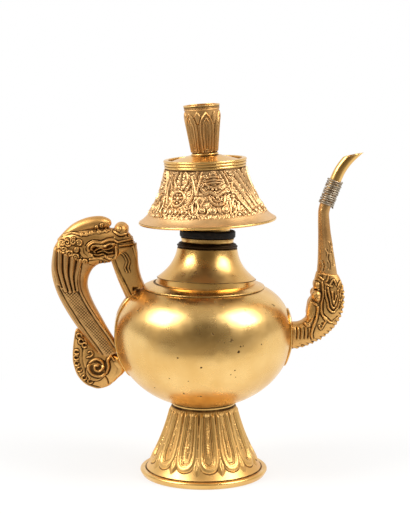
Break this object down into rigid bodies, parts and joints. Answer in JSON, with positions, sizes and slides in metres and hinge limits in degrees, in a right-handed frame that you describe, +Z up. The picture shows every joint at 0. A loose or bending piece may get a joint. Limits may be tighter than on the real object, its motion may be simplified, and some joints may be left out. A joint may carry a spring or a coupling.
{
  "type": "tibetan bumpa vase",
  "caption": "Globular brass ritual ewer on a lotus foot, with a makara handle, a wire-bound makara spout and a lift-off flared cover carrying a loose feather tube.",
  "frame": {"origin": "middle of the foot's resting face", "axes": "+Z up, +X towards the spout, +Y towards the back"},
  "size_m": [0.2007, 0.1144, 0.2424],
  "materials": {
    "polished_brass": "worn polish with fine scratches and small pits",
    "chased_brass": "chased relief with dark patina in the hollows",
    "tarnished_brass": "dark tarnish",
    "iron_wire": "dull, stained",
    "black_seal": "matte"
  },
  "bodies": {
    "vase": {"foot_shell": "chased_brass", "foot_rim": "polished_brass", "foot_collar": "polished_brass", "body_globe": "polished_brass", "shoulder_plate": "polished_brass", "neck_step_ring": "polished_brass", "neck_flare": "polished_brass", "neck_bead": "tarnished_brass", "mouth_collar": "polished_brass", "handle_plate": "polished_brass", "spout_plate": "polished_brass", "handle_arm": "chased_brass", "handle_head": "chased_brass", "handle_strut": "chased_brass", "handle_tail": "chased_brass", "spout_makara": "chased_brass", "spout_tube": "polished_brass", "spout_tip": "polished_brass", "spout_binding": "iron_wire"},
    "seal": {"seal_ring": "black_seal"},
    "cover": {"cover_sleeve": "polished_brass", "cover_skirt": "chased_brass", "cover_hem": "polished_brass", "cover_top_ring": "polished_brass", "cover_floor": "polished_brass"},
    "feather_holder": {"feather_tube": "chased_brass", "tube_collar": "polished_brass", "tube_rim": "polished_brass"}
  },
  "joints": [
    {"name": "cover_lift", "type": "slide", "parent": "vase", "child": "seal", "axis": [-0.0401, 0.0122, 0.9991], "range_m": [0, 0.06]},
    {"name": "cover_turn", "type": "hinge", "parent": "seal", "child": "cover", "pos_m": [0.00272, 0.00218, 0.16253], "axis": [-0.0401, 0.0122, 0.9991], "continuous": true},
    {"name": "tube_lift", "type": "slide", "parent": "cover", "child": "feather_holder", "axis": [-0.0698, 0.0122, 0.9975], "range_m": [0, 0.05]}
  ]
}
